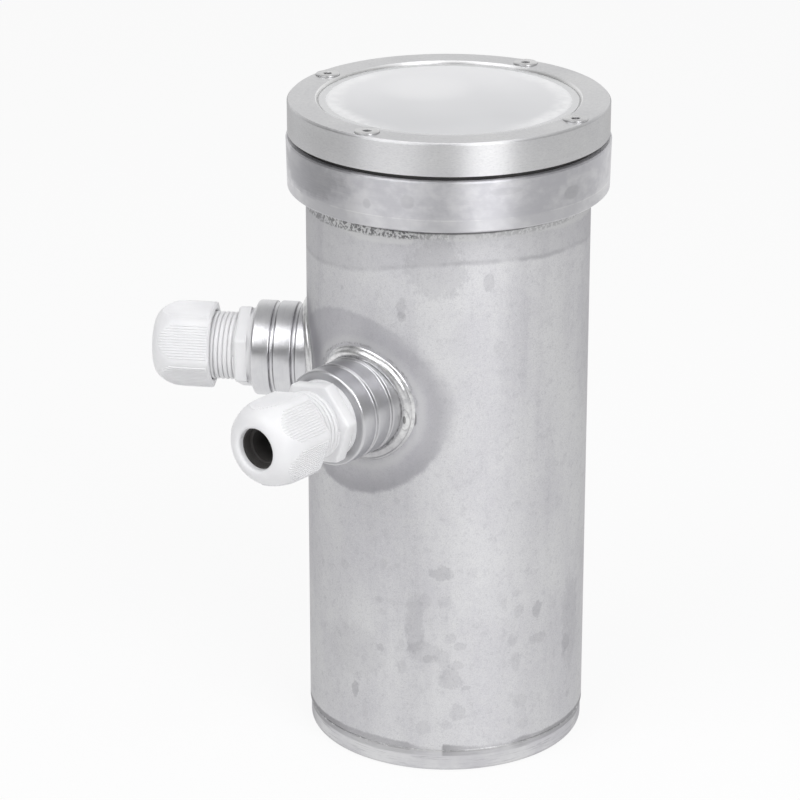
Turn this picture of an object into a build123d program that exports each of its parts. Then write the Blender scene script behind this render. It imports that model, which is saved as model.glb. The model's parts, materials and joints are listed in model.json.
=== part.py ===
from build123d import *
import os
from math import cos, pi, sin

# Recessed spotlight: a welded steel can with a bolted glass bezel and two side cable glands.
# Millimetres, +Z up, origin at the centre of the base underside.

# Overall stack, measured up from the underside
total_height = 210.0
bezel_thickness = 10.3
gasket_thickness = 1.6
flange_thickness = 15.9

# Bezel and glass
bezel_radius = 50.0
bezel_edge_chamfer = 0.7
opening_radius = 40.6
opening_chamfer = 0.7
glass_recess_radius = 42.6
glass_step_radius = 42.3
glass_face_radius = 40.2
glass_step_height = 3.8
glass_below_land = 0.8
glass_seal_thickness = 0.8
seal_below_glass = 0.15

# Countersunk bezel screws
screw_count = 4
screw_start_deg = 245.0
screw_circle_radius = 45.3
screw_head_radius = 3.75
screw_head_proud = 0.5
screw_shank_radius = 2.0
screw_length = 19.0
screw_clearance = 0.12
hex_key_flats = 2.5
hex_key_depth = 1.6

# Flange and gasket
flange_top_radius = 50.5
flange_foot_radius = 50.15
flange_chamfer = 0.45
flange_bore_radius = 38.0
flange_ledge_radius = 32.5
flange_ledge_height = 2.0
tube_socket_depth = 6.0
weld_step_radius = 46.6
weld_step_depth = 0.5
gasket_outer_radius = 48.3
gasket_inner_radius = 38.3

# Tube, base and welds
tube_radius = 44.45
tube_wall = 2.0
base_radius = 44.1
base_thickness = 7.0
base_edge_radius = 2.0
base_spigot_height = 3.0
base_weld_width = 0.9
base_weld_recess = 0.55
flange_weld_leg = 3.2
flange_weld_throat = 1.8
slip = 0.05

# Side sockets and cable glands: distances run outwards from the tube axis
front_gland = {"degrees": 240.0, "height": 122.2, "nut_turn": 40.0, "hex_turn": 40.0}
rear_gland = {"degrees": 180.0, "height": 124.6, "nut_turn": 21.5, "hex_turn": 56.0}
socket_face = 61.0
socket_radius = 15.2
socket_bore = 10.05
socket_chamfer = 0.6
socket_groove_width = 1.5
socket_groove_depth = 0.9
socket_bands = (5.9, 5.5)
socket_weld_reach = 2.6
socket_weld_height = 2.0
washer_thickness = 1.6
washer_radius = 12.4
hex_flats = 24.2
hex_height = 4.1
entry_thread_length = 10.5
clamp_thread_radius = 10.9
thread_pitch = 1.5
thread_depth = 0.75
clamp_thread_length = 13.8
body_bore = 7.2
body_mouth = 9.4
body_mouth_depth = 8.5
nut_gap = 8.0
nut_length = 19.2
nut_flats = 25.0
nut_corner_radius = 13.95
nut_bore = 11.2
nut_hole = 6.5
nut_lip = 2.2
dome_length = 11.0
dome_nose_radius = 7.5
claw_length = 14.5
claw_outer = 9.1
claw_inner = 7.9
claw_fingers = 10
claw_slit = 1.0
claw_slit_length = 10.0
seal_outer = 7.7
seal_bore = 5.2
seal_mouth = 6.2
seal_mouth_depth = 2.5
nut_tail_clearance = 0.35

# Lamp under the glass
carrier_radius = 37.6
carrier_thickness = 2.0
carrier_screw_count = 3
carrier_screw_circle = 35.3
carrier_screw_radius = 1.25
heat_sink_radius = 32.0
heat_sink_base = 6.2
heat_sink_fin_height = 24.0
fin_count = 9
fin_pitch = 7.0
fin_thickness = 2.0
board_radius = 30.0
board_thickness = 1.6
emitter_size = 3.5
emitter_height = 1.2
emitter_circle = 12.0
outer_emitters = 6
lens_tray_radius = 20.0
lens_tray_height = 4.4
lens_cup_radius = 3.6
lens_cup_height = 2.0

# Control gear in the can
tray_thickness = 1.5
tray_width = 44.0
tray_foot_length = 31.5
tray_height = 86.0
tray_face_x = 5.5
driver_depth = 24.0
driver_width = 36.0
driver_height = 66.0
driver_lift = 6.0
driver_tab = 8.0
driver_tab_thickness = 3.0
terminal_depth = 14.0
terminal_width = 36.0
terminal_height = 20.0
terminal_drop = 6.0
terminal_ways = 3
stud_radius = 2.5
stud_height = 15.0
stud_x = -33.0
lead_radius = 1.0
led_lead_x = 24.5
led_lead_y = 3.0

# Derived levels
bezel_bottom = total_height - bezel_thickness
flange_top = bezel_bottom - gasket_thickness
flange_bottom = flange_top - flange_thickness
tube_top = flange_bottom + tube_socket_depth
tube_bottom = base_thickness + base_weld_width
tube_inner = tube_radius - tube_wall
floor_level = base_thickness + base_spigot_height
ledge_top = tube_top + flange_ledge_height
glass_top = total_height - glass_below_land
glass_step_top = bezel_bottom + glass_step_height
lip_bottom = glass_step_top + glass_seal_thickness
carrier_top = ledge_top + carrier_thickness
board_top = carrier_top + board_thickness
hex_start = socket_face + washer_thickness
clamp_start = hex_start + hex_height
clamp_end = clamp_start + clamp_thread_length
nut_start = clamp_start + nut_gap
nut_end = nut_start + nut_length
claw_start = clamp_end - body_mouth_depth + 5.0
seal_end = nut_end - nut_lip - nut_tail_clearance
tray_back_x = tray_face_x - tray_thickness
tray_top = floor_level + tray_height


def turned(points):
    """Ring or disc turned about Z from (radius, height) corners."""
    return revolve(make_face(Plane.XZ * Polyline(*points, close=True)), Axis.Z)


def ring(outer, inner, low, high):
    """Plain ring between two radii and two heights."""
    return turned([(inner, low), (outer, low), (outer, high), (inner, high)])


def rod(radius, low, high):
    """Plain round bar on the Z axis between two heights."""
    return Pos(0, 0, (low + high) / 2) * Cylinder(radius, high - low)


def hex_bar(flats, low, high, turn=0.0):
    """Six-sided bar on the Z axis, given the size across its flats."""
    outline = RegularPolygon(flats / 2, 6, major_radius=False, rotation=turn)
    return Pos(0, 0, low) * extrude(outline, high - low)


def block(x_range, y_range, z_range):
    """Rectangular block from its three ranges."""
    size = [high - low for low, high in (x_range, y_range, z_range)]
    middle = [(high + low) / 2 for low, high in (x_range, y_range, z_range)]
    return Pos(*middle) * Box(*size)


def around(shape, radius, degrees):
    """The shape moved out to a radius and turned to an angle about Z."""
    return Rot(0, 0, degrees) * Pos(radius, 0, 0) * shape


def along_gland(shape, gland):
    """A shape built along Z, laid along a gland axis."""
    return Pos(0, 0, gland["height"]) * Rot(0, 0, gland["degrees"]) * Rot(0, 90, 0) * shape


def screw_angles():
    return [screw_start_deg + 360.0 / screw_count * n for n in range(screw_count)]


def bezel_ring():
    """Top ring: flat land, chamfered edges, and a recess below for the stepped glass."""
    land_inner = opening_radius + opening_chamfer
    land_outer = bezel_radius - bezel_edge_chamfer
    body = turned([
        (glass_recess_radius, bezel_bottom),
        (bezel_radius, bezel_bottom),
        (bezel_radius, total_height - bezel_edge_chamfer),
        (land_outer, total_height),
        (land_inner, total_height),
        (opening_radius, total_height - opening_chamfer),
        (opening_radius, lip_bottom),
        (glass_recess_radius, lip_bottom),
    ])
    hole_radius = screw_shank_radius + screw_clearance
    head_hole = screw_head_radius + screw_clearance
    sink = turned([
        (0, bezel_bottom - 1),
        (hole_radius, bezel_bottom - 1),
        (hole_radius, total_height - head_hole + hole_radius),
        (head_hole, total_height),
        (head_hole, total_height + 1),
        (0, total_height + 1),
    ])
    for angle in screw_angles():
        body -= around(sink, screw_circle_radius, angle)
    return body


def bezel_screw(angle):
    """Countersunk screw with a hex socket, its head standing slightly proud."""
    head_top = total_height + screw_head_proud
    screw = turned([
        (0, head_top - screw_length),
        (screw_shank_radius, head_top - screw_length),
        (screw_shank_radius, total_height - screw_head_radius + screw_shank_radius),
        (screw_head_radius, total_height),
        (screw_head_radius, head_top),
        (0, head_top),
    ])
    screw -= hex_bar(hex_key_flats, head_top - hex_key_depth, head_top + 1)
    return around(screw, screw_circle_radius, angle)


def glass_disc():
    """Thick stepped glass: its wide foot sits under the bezel lip."""
    return turned([
        (0, bezel_bottom),
        (glass_step_radius, bezel_bottom),
        (glass_step_radius, glass_step_top),
        (glass_face_radius, glass_step_top),
        (glass_face_radius, glass_top),
        (0, glass_top),
    ])


def glass_seal():
    """Angle-shaped ring between the glass step and the bezel lip."""
    wall_outer = opening_radius - slip / 2
    wall_inner = glass_face_radius + slip / 2
    return turned([
        (wall_inner, glass_step_top),
        (glass_step_radius, glass_step_top),
        (glass_step_radius, lip_bottom),
        (wall_outer, lip_bottom),
        (wall_outer, glass_top - seal_below_glass),
        (wall_inner, glass_top - seal_below_glass),
    ])


def lid_gasket():
    """Flat black gasket between flange and bezel, pierced for the screws."""
    gasket = ring(gasket_outer_radius, gasket_inner_radius, flange_top, bezel_bottom)
    hole = rod(screw_shank_radius + 2 * screw_clearance, flange_top - 1, bezel_bottom + 1)
    for angle in screw_angles():
        gasket -= around(hole, screw_circle_radius, angle)
    return gasket


def top_flange():
    """Heavy turned flange with a seat for the tube, a lamp ledge and screw holes."""
    seat = tube_radius + slip
    body = turned([
        (seat, flange_bottom + weld_step_depth),
        (weld_step_radius, flange_bottom + weld_step_depth),
        (weld_step_radius, flange_bottom),
        (flange_foot_radius - flange_chamfer, flange_bottom),
        (flange_foot_radius, flange_bottom + flange_chamfer),
        (flange_top_radius, flange_top - flange_chamfer),
        (flange_top_radius - flange_chamfer, flange_top),
        (flange_bore_radius, flange_top),
        (flange_bore_radius, ledge_top),
        (flange_ledge_radius, ledge_top),
        (flange_ledge_radius, tube_top),
        (seat, tube_top),
    ])
    hole_bottom = total_height + screw_head_proud - screw_length - 0.4
    hole = rod(screw_shank_radius + screw_clearance, hole_bottom, flange_top + 1)
    for angle in screw_angles():
        body -= around(hole, screw_circle_radius, angle)
    small_hole = rod(carrier_screw_radius + slip, tube_top - 1, ledge_top + 1)
    for n in range(carrier_screw_count):
        body -= around(small_hole, carrier_screw_circle, 360.0 / carrier_screw_count * n)
    return body


def flange_weld():
    """Fillet weld in the step under the flange."""
    inner = tube_radius + slip / 2
    top = flange_bottom + weld_step_depth
    return turned([
        (inner, top - flange_weld_leg),
        (inner + 0.5, top - flange_weld_leg),
        (inner + flange_weld_throat, top - 1.0),
        (inner + flange_weld_throat, top),
        (inner, top),
    ])


def housing_tube():
    """Plain tube with a round port behind each side socket."""
    tube = ring(tube_radius, tube_inner, tube_bottom, tube_top)
    port = rod(socket_bore, tube_inner - 12, tube_radius + 6)
    for gland in (front_gland, rear_gland):
        tube -= along_gland(port, gland)
    return tube


def base_plate():
    """Turned base with a rounded foot and a spigot that enters the tube."""
    plate = rod(base_radius, 0, base_thickness)
    plate = fillet(plate.edges().sort_by(Axis.Z)[0], base_edge_radius)
    return plate + rod(tube_inner - slip, base_thickness, floor_level)


def base_weld():
    """Recessed weld run in the groove between tube and base."""
    return ring(tube_radius - base_weld_recess, tube_inner, base_thickness, tube_bottom)


def cable_socket(gland):
    """Turned socket with two grooves, coped to sit on the tube."""
    groove_floor = socket_radius - socket_groove_depth
    first_end = socket_face - socket_bands[0]
    second_start = first_end - socket_groove_width
    second_end = second_start - socket_bands[1]
    third_start = second_end - socket_groove_width
    root = tube_radius - 8
    body = turned([
        (socket_bore, root),
        (socket_radius, root),
        (socket_radius, third_start),
        (groove_floor, third_start),
        (groove_floor, second_end),
        (socket_radius, second_end),
        (socket_radius, second_start),
        (groove_floor, second_start),
        (groove_floor, first_end),
        (socket_radius, first_end),
        (socket_radius, socket_face - socket_chamfer),
        (socket_radius - socket_chamfer, socket_face),
        (socket_bore, socket_face),
    ])
    cope = rod(tube_radius + slip, gland["height"] - 30, gland["height"] + 30)
    return along_gland(body, gland) - cope


def socket_weld(gland):
    """Saddle-shaped weld bead round the foot of a socket."""
    outer = rod(socket_radius + socket_weld_reach, tube_radius - 8, tube_radius + 6)
    inner = rod(socket_radius + slip / 2, tube_radius - 9, tube_radius + 7)
    low = gland["height"] - 30
    high = gland["height"] + 30
    shell = ring(tube_radius + socket_weld_height, tube_radius + slip / 2, low, high)
    return along_gland(outer - inner, gland) & shell


def gland_washer(gland):
    washer = ring(washer_radius, socket_bore + 0.2, socket_face, hex_start)
    return along_gland(washer, gland)


def gland_body(gland):
    """Gland body: entry thread, hexagon, ridged clamping thread and stepped bore."""
    entry = rod(socket_bore - slip, socket_face - entry_thread_length, hex_start)
    crown = turned([
        (0, hex_start),
        (hex_flats / 2 + 1.4, hex_start),
        (hex_flats / 2 + 1.7, hex_start + 0.3),
        (hex_flats / 2 + 1.7, clamp_start - 0.7),
        (hex_flats / 2 + 1.0, clamp_start),
        (0, clamp_start),
    ])
    hexagon = hex_bar(hex_flats, hex_start, clamp_start, gland["hex_turn"]) & crown
    root = clamp_thread_radius - thread_depth
    ridge = [(0, clamp_start), (root, clamp_start)]
    turns = int((clamp_thread_length - 1.0) / thread_pitch)
    for n in range(turns):
        low = clamp_start + 0.4 + n * thread_pitch
        ridge.append((root, low))
        ridge.append((clamp_thread_radius, low + 0.4 * thread_pitch))
        ridge.append((clamp_thread_radius, low + 0.55 * thread_pitch))
        ridge.append((root, low + 0.95 * thread_pitch))
    ridge.append((root, clamp_end))
    ridge.append((0, clamp_end))
    body = entry + hexagon + turned(ridge)
    body -= rod(body_bore, socket_face - entry_thread_length - 1, clamp_end + 1)
    body -= rod(body_mouth, clamp_end - body_mouth_depth, clamp_end + 1)
    return along_gland(body, gland)


def gland_nut(gland):
    """Hexagonal nut whose outside rounds over into a dome with a lipped hole."""
    dome_start = nut_end - dome_length
    outer_radius = nut_corner_radius
    arc = EllipticalCenterArc(
        (dome_nose_radius, dome_start),
        outer_radius - dome_nose_radius,
        dome_length,
        start_angle=0,
        arc_size=90,
    )
    outline = Line((0, nut_start), (outer_radius, nut_start))
    outline += Line((outer_radius, nut_start), (outer_radius, dome_start))
    outline += arc
    outline += Line((dome_nose_radius, nut_end), (0, nut_end))
    outline += Line((0, nut_end), (0, nut_start))
    dome = revolve(make_face(Plane.XZ * outline), Axis.Z)
    lip_start = nut_end - nut_lip
    bore = turned([
        (0, nut_start - 1),
        (nut_bore, nut_start - 1),
        (nut_bore, lip_start - 6.4),
        (claw_outer + 0.4, lip_start),
        (nut_hole, lip_start),
        (nut_hole, nut_end + 1),
        (0, nut_end + 1),
    ])
    nut = (hex_bar(nut_flats, nut_start, nut_end, gland["nut_turn"]) & dome) - bore
    return along_gland(nut, gland)


def gland_claw(gland):
    """Slit clamping sleeve round the seal."""
    claw_end = claw_start + claw_length
    claw = ring(claw_outer, claw_inner, claw_start, claw_end)
    half = claw_slit / 2
    slit = block((claw_inner - 1, claw_outer + 1), (-half, half), (claw_end - claw_slit_length, claw_end + 1))
    for n in range(claw_fingers):
        claw -= Rot(0, 0, 360.0 / claw_fingers * n) * slit
    return along_gland(claw, gland)


def gland_seal(gland):
    """Rubber bush with the cable bore and a wider mouth."""
    mouth_start = seal_end - seal_mouth_depth
    seal = turned([
        (seal_bore, claw_start),
        (seal_outer, claw_start),
        (seal_outer, seal_end),
        (seal_mouth, seal_end),
        (seal_mouth, mouth_start),
        (seal_bore, mouth_start),
    ])
    return along_gland(seal, gland)


def lead_holes(low, high):
    """Two clearance holes for the lamp leads."""
    hole = rod(lead_radius + 0.5, low, high)
    return Pos(led_lead_x, led_lead_y, 0) * hole + Pos(led_lead_x, -led_lead_y, 0) * hole


def led_carrier():
    """Aluminium plate that carries the lamp on the flange ledge."""
    plate = rod(carrier_radius, ledge_top, carrier_top)
    hole = rod(carrier_screw_radius + slip, ledge_top - 1, carrier_top + 1)
    for n in range(carrier_screw_count):
        plate -= around(hole, carrier_screw_circle, 360.0 / carrier_screw_count * n)
    return plate - lead_holes(ledge_top - 1, carrier_top + 1)


def carrier_screws():
    """Pan-head screws that hold the carrier to the ledge."""
    screw = rod(carrier_screw_radius, tube_top + 0.2, carrier_top)
    screw += rod(1.8 * carrier_screw_radius, carrier_top, carrier_top + 1.4)
    step = 360.0 / carrier_screw_count
    return Compound([around(screw, carrier_screw_circle, step * n) for n in range(carrier_screw_count)])


def heat_sink():
    """Round base with parallel fins hanging into the can."""
    base_low = ledge_top - heat_sink_base
    fin_low = base_low - heat_sink_fin_height
    sink = rod(heat_sink_radius, base_low, ledge_top)
    fins = None
    for n in range(fin_count):
        x = (n - (fin_count - 1) / 2) * fin_pitch
        half = fin_thickness / 2
        fin = block((x - half, x + half), (-heat_sink_radius, heat_sink_radius), (fin_low, base_low))
        fins = fin if fins is None else fins + fin
    sink += fins & rod(heat_sink_radius, fin_low, base_low)
    return sink - lead_holes(base_low - 1, ledge_top + 1)


def led_board():
    board = rod(board_radius, carrier_top, board_top)
    return board - lead_holes(carrier_top - 1, board_top + 1)


def emitter_places():
    places = [(0.0, 0.0)]
    for n in range(outer_emitters):
        angle = 2 * pi * n / outer_emitters
        places.append((emitter_circle * cos(angle), emitter_circle * sin(angle)))
    return places


def led_emitters():
    half = emitter_size / 2
    chip = block((-half, half), (-half, half), (board_top, board_top + emitter_height))
    return Compound([Pos(x, y, 0) * chip for x, y in emitter_places()])


def lens_tray():
    """Clear lens plate with a cup over each emitter."""
    tray = rod(lens_tray_radius, board_top, board_top + lens_tray_height)
    cup = rod(lens_cup_radius, board_top - 1, board_top + lens_cup_height)
    for x, y in emitter_places():
        tray -= Pos(x, y, 0) * cup
    return tray


def tray_screw_places():
    return [(-20.0, 14.0), (-20.0, -14.0)]


def gear_tray():
    """Bent bracket: a foot on the base and an upright plate for the gear."""
    half = tray_width / 2
    foot_low = tray_face_x - tray_foot_length
    foot = block((foot_low, tray_face_x), (-half, half), (floor_level, floor_level + tray_thickness))
    upright = block((tray_back_x, tray_face_x), (-half, half), (floor_level, tray_top))
    tray = foot + upright
    hole = rod(1.6, floor_level - 1, floor_level + tray_thickness + 1)
    for x, y in tray_screw_places():
        tray -= Pos(x, y, 0) * hole
    return tray


def tray_screws():
    foot_top = floor_level + tray_thickness
    screw = rod(1.5, floor_level, foot_top) + rod(2.8, foot_top, foot_top + 2.0)
    return Compound([Pos(x, y, 0) * screw for x, y in tray_screw_places()])


def driver_screw_heights():
    low = floor_level + driver_lift
    return [low + driver_height + driver_tab / 2]


def led_driver():
    """Potted driver with a screw tab at its top end."""
    low = floor_level + driver_lift
    high = low + driver_height
    half = driver_width / 2
    body = block((tray_face_x, tray_face_x + driver_depth), (-half, half), (low, high))
    body = fillet(body.edges().filter_by(Axis.Z).sort_by(Axis.X)[-2:], 2.0)
    tab_half = driver_width / 2 - 4
    tab = block((tray_face_x, tray_face_x + driver_tab_thickness), (-tab_half, tab_half), (high, high + driver_tab))
    body += tab
    for z in driver_screw_heights():
        for y in (-tab_half + 4, tab_half - 4):
            body -= Pos(tray_face_x + driver_tab_thickness / 2, y, z) * Rot(0, 90, 0) * Cylinder(1.6, 8)
    return body


def driver_screws():
    """Screws through the driver tab, heads on the tab face."""
    face = tray_face_x + driver_tab_thickness
    tab_half = driver_width / 2 - 4
    screw = rod(1.5, tray_face_x, face) + rod(2.7, face, face + 2.0)
    screws = []
    for z in driver_screw_heights():
        for y in (-tab_half + 4, tab_half - 4):
            screws.append(Pos(0, y, z) * Rot(0, 90, 0) * screw)
    return Compound(screws)


def terminal_places():
    pitch = terminal_width / terminal_ways
    return [(n - (terminal_ways - 1) / 2) * pitch for n in range(terminal_ways)]


def terminal_range():
    high = tray_top - terminal_drop
    return high - terminal_height, high


def terminal_block():
    """Screw terminal block with a wire way through and two screw wells per way."""
    low, high = terminal_range()
    half = terminal_width / 2
    body = block((tray_back_x - terminal_depth, tray_back_x), (-half, half), (low, high))
    for y in terminal_places():
        body -= Pos(tray_back_x - terminal_depth / 2, y, (low + high) / 2) * Cylinder(2.4, terminal_height + 2)
        for z in (low + 5, high - 5):
            well = Pos(tray_back_x - terminal_depth + 2, y, z) * Rot(0, 90, 0) * Cylinder(2.1, 4.2)
            body -= well
    return body


def terminal_screws():
    low, high = terminal_range()
    face = tray_back_x - terminal_depth
    screw = Rot(0, 90, 0) * (rod(1.9, 0.4, 3.6) - block((-3, 3), (-0.35, 0.35), (0.3, 1.0)))
    screws = []
    for y in terminal_places():
        for z in (low + 5, high - 5):
            screws.append(Pos(face, y, z) * screw)
    return Compound(screws)


def earth_stud():
    return Pos(stud_x, 0, 0) * rod(stud_radius, floor_level, floor_level + stud_height)


def earth_nut():
    low = floor_level + 2.0
    nut = hex_bar(8.0, low, low + 4.0) - rod(stud_radius + slip, low - 1, low + 5.0)
    return Pos(stud_x, 0, 0) * nut


def lead(points, radius, bends):
    """Round wire along straight runs joined by tangent arcs."""
    path = FilletPolyline(*points, radius=bends)
    start = Plane(origin=path @ 0, z_dir=path % 0)
    return sweep(start * Circle(radius), path=path)


def earth_lead():
    """Ring tag under the earth nut and its wire up to the terminal block."""
    low, _ = terminal_range()
    tag_top = floor_level + 2.0
    tag = ring(4.5, stud_radius + slip, floor_level + 0.6, tag_top)
    tag = Pos(stud_x, 0, 0) * tag
    wire_z = floor_level + 1.3
    wire_x = tray_back_x - terminal_depth / 2
    y = terminal_places()[0]
    points = [
        (stud_x, -4.0, wire_z),
        (stud_x, y, wire_z),
        (stud_x + 4.0, y, wire_z + 30.0),
        (wire_x, y, low - 18.0),
        (wire_x, y, low + 4.0),
    ]
    return tag + lead(points, 0.65, [4.0, 12.0, 10.0])


def driver_leads():
    """Two wires from the terminal block round the tray edge into the driver side."""
    low, _ = terminal_range()
    wire_x = tray_back_x - terminal_depth / 2
    side = tray_width / 2 + 4.0
    wires = []
    for n, y in enumerate(terminal_places()[1:]):
        drop = 8.0 + 7.0 * n
        entry_z = low - drop - 16.0
        points = [
            (wire_x, y, low + 4.0),
            (wire_x, y, low - drop),
            (wire_x, side, low - drop - 4.0),
            (tray_face_x + 14.0, side, entry_z),
            (tray_face_x + 14.0, driver_width / 2, entry_z),
        ]
        wires.append(lead(points, lead_radius, [4.0, 5.0, 4.0]))
    return Compound(wires)


def led_leads():
    """Two wires from the driver top to the lamp board."""
    start_z = floor_level + driver_lift + driver_height
    start_x = tray_face_x + driver_depth / 2 + 2.0
    wires = []
    for side in (-1, 1):
        points = [
            (start_x, side * led_lead_y, start_z),
            (start_x, side * led_lead_y, start_z + 30.0),
            (led_lead_x, side * led_lead_y, start_z + 60.0),
            (led_lead_x, side * led_lead_y, board_top + 0.8),
        ]
        wires.append(lead(points, lead_radius, [40.0, 40.0]))
    return Compound(wires)


def gland_pieces(name, gland):
    """Every piece of one side entry, by node name."""
    return {
        name + "_socket": cable_socket(gland),
        name + "_socket_weld": socket_weld(gland),
        name + "_gland_washer": gland_washer(gland),
        name + "_gland_body": gland_body(gland),
        name + "_gland_nut": gland_nut(gland),
        name + "_gland_claw": gland_claw(gland),
        name + "_gland_seal": gland_seal(gland),
    }


def all_pieces():
    pieces = {
        "bezel_ring": bezel_ring(),
        "glass_disc": glass_disc(),
        "glass_seal": glass_seal(),
        "lid_gasket": lid_gasket(),
        "top_flange": top_flange(),
        "flange_weld": flange_weld(),
        "housing_tube": housing_tube(),
        "base_plate": base_plate(),
        "base_weld": base_weld(),
        "led_carrier": led_carrier(),
        "carrier_screws": carrier_screws(),
        "heat_sink": heat_sink(),
        "led_board": led_board(),
        "led_emitters": led_emitters(),
        "lens_tray": lens_tray(),
        "gear_tray": gear_tray(),
        "tray_screws": tray_screws(),
        "led_driver": led_driver(),
        "driver_screws": driver_screws(),
        "terminal_block": terminal_block(),
        "terminal_screws": terminal_screws(),
        "earth_stud": earth_stud(),
        "earth_nut": earth_nut(),
        "earth_lead": earth_lead(),
        "driver_leads": driver_leads(),
        "led_leads": led_leads(),
    }
    for n, angle in enumerate(screw_angles(), start=1):
        pieces["bezel_screw_" + str(n)] = bezel_screw(angle)
    pieces.update(gland_pieces("front", front_gland))
    pieces.update(gland_pieces("rear", rear_gland))
    return pieces


os.makedirs("parts", exist_ok=True)
for node, piece in all_pieces().items():
    export_step(piece, "parts/" + node + ".step")
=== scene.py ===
import json
from math import cos, pi, radians, sin, sqrt

import bmesh
import bpy
from mathutils import Matrix, Vector


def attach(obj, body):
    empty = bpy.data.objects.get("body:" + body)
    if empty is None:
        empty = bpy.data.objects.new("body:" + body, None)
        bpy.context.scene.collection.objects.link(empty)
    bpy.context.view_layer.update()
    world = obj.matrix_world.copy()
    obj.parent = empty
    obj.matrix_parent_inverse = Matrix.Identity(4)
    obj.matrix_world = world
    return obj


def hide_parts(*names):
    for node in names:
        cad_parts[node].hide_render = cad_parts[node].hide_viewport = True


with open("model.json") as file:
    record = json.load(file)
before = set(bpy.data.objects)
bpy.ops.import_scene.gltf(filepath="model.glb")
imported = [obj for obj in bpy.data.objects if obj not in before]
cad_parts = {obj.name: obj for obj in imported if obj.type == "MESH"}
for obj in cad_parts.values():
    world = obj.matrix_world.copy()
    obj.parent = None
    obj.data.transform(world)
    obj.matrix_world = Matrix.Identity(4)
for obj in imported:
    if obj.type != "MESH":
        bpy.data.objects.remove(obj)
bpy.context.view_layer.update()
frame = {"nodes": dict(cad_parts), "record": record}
nodes = frame["nodes"]
MM = 0.001

# Sizes in millimetres: heights from the ground, places along a gland from the tube's axis
TOP = 210.0
OPENING_R = 40.6
FLANGE_TOP = 198.1
FLANGE_LOW = 182.2
TUBE_R = 44.45
SEAM = 7.45

GLANDS = {
    "front": {"angle": 240.0, "height": 122.2, "nut": 40.0, "hex": 40.0},
    "rear": {"angle": 180.0, "height": 124.6, "nut": 21.5, "hex": 56.0},
}
SOCKET_R = 15.2
SOCKET_BORE_R = 10.05
SOCKET_EDGES = (61.0, 55.1, 53.6, 48.1, 46.6)
SOCKET_CHAMFER = 0.6
SOCKET_EASE = 0.42
GROOVE_DEPTH = 0.85
GROOVE_SLOPE = 0.25

HEX_FLATS = 24.2
HEX_CORNER_R = 13.85
HEX_RANGE = (62.6, 66.7)
SHANK_R = 10.0
SHANK_END = 50.5
CABLE_BORE_R = 7.2
CLAMP_END = 80.5
CLAMP_FLOOR = 72.0
CLAMP_CORE_R = 9.95
CLAMP_BORE_R = 9.4
THREAD_PITCH = 1.5

NUT_FLATS = 25.0
NUT_CORNER_R = 13.95
NUT_RANGE = (74.7, 93.9)
NUT_EASE = 0.5
NUT_BLEND = 1.2
NUT_BORE_R = 11.2
NUT_CONE = ((11.2, 85.3), (9.5, 91.7))
DOME_START = 82.9
NOSE_R = 7.5
HOLE_R = 6.5
LIP_R = 1.0

SCREW_ANGLES = [245.0 + 90.0 * n for n in range(4)]
SCREW_CIRCLE = 45.3
SCREW_RISE = 0.5
SCREW_LENGTH = 19.0
SHAFT_R = 2.0
HEAD_R = 3.75
KEY_R = 1.25
KEY_DEPTH = 1.6
AXIS_HOLE_R = 0.02

# Direction of the photograph's side round the tube, in degrees from +X
CAMERA_SIDE = 277.5

# Turn of the brushing that spreads highlights up and down
UPRIGHT = 0.25


# Node maths

class Val:
    """A socket in a node tree; arithmetic on it adds Math nodes."""

    def __init__(self, tree, socket=None):
        self.tree = tree
        self.socket = socket

    def add(self, kind, settings=None, sockets=None, out=0):
        """Adds any node: its settings first, then the values or links of its sockets."""
        prefix = "" if kind.startswith(("Geometry", "Function")) else "ShaderNode"
        node = self.tree.nodes.new(prefix + kind)
        for key, value in (settings or {}).items():
            if key == "stops":
                set_stops(node.color_ramp, value)
            else:
                setattr(node, key, value)
        for key, value in (sockets or {}).items():
            if isinstance(value, Val):
                self.tree.links.new(value.socket, node.inputs[key])
            else:
                node.inputs[key].default_value = value
        return Val(self.tree, node.outputs[out])

    def math(self, operation, *others):
        """Math node on this value and any others."""
        return self.add("Math", {"operation": operation}, dict(enumerate((self, *others))))

    def math_after(self, operation, first):
        """Math node on another value and this one."""
        return self.add("Math", {"operation": operation}, {0: first, 1: self})

    def __add__(self, other):
        return self.math("ADD", other)

    def __radd__(self, other):
        return self.math_after("ADD", other)

    def __sub__(self, other):
        return self.math("SUBTRACT", other)

    def __rsub__(self, other):
        return self.math_after("SUBTRACT", other)

    def __mul__(self, other):
        return self.math("MULTIPLY", other)

    def __rmul__(self, other):
        return self.math_after("MULTIPLY", other)

    def __truediv__(self, other):
        return self.math("DIVIDE", other)

    def __rtruediv__(self, other):
        return self.math_after("DIVIDE", other)

    def root(self):
        return self.math("SQRT")

    def rise(self, low, high):
        """0 below low, 1 above high, eased between; low may be the larger."""
        ends = {"From Min": low, "From Max": high, "Value": self}
        return self.add("MapRange", {"interpolation_type": "SMOOTHSTEP"}, ends)

    def near(self, place, width):
        """1 at a place, falling to 0 a width away on both sides."""
        return (self - place).math("ABSOLUTE").rise(width, 0.0)

    def noise(self, scale, detail, rough, seed):
        """Cloudy pattern over a vector."""
        return self.add("TexNoise", {"noise_dimensions": "4D"}, {
            "Vector": self, "Scale": scale, "Detail": detail, "Roughness": rough, "W": seed})

    def ramp(self, stops):
        """Grey level along a range, from (place, level) stops in order."""
        low = stops[0][0]
        span = stops[-1][0] - low
        spread = [((place - low) / span, level) for place, level in stops]
        return self.add("ValToRGB", {"stops": spread}, {0: (self - low) / span})


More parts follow.
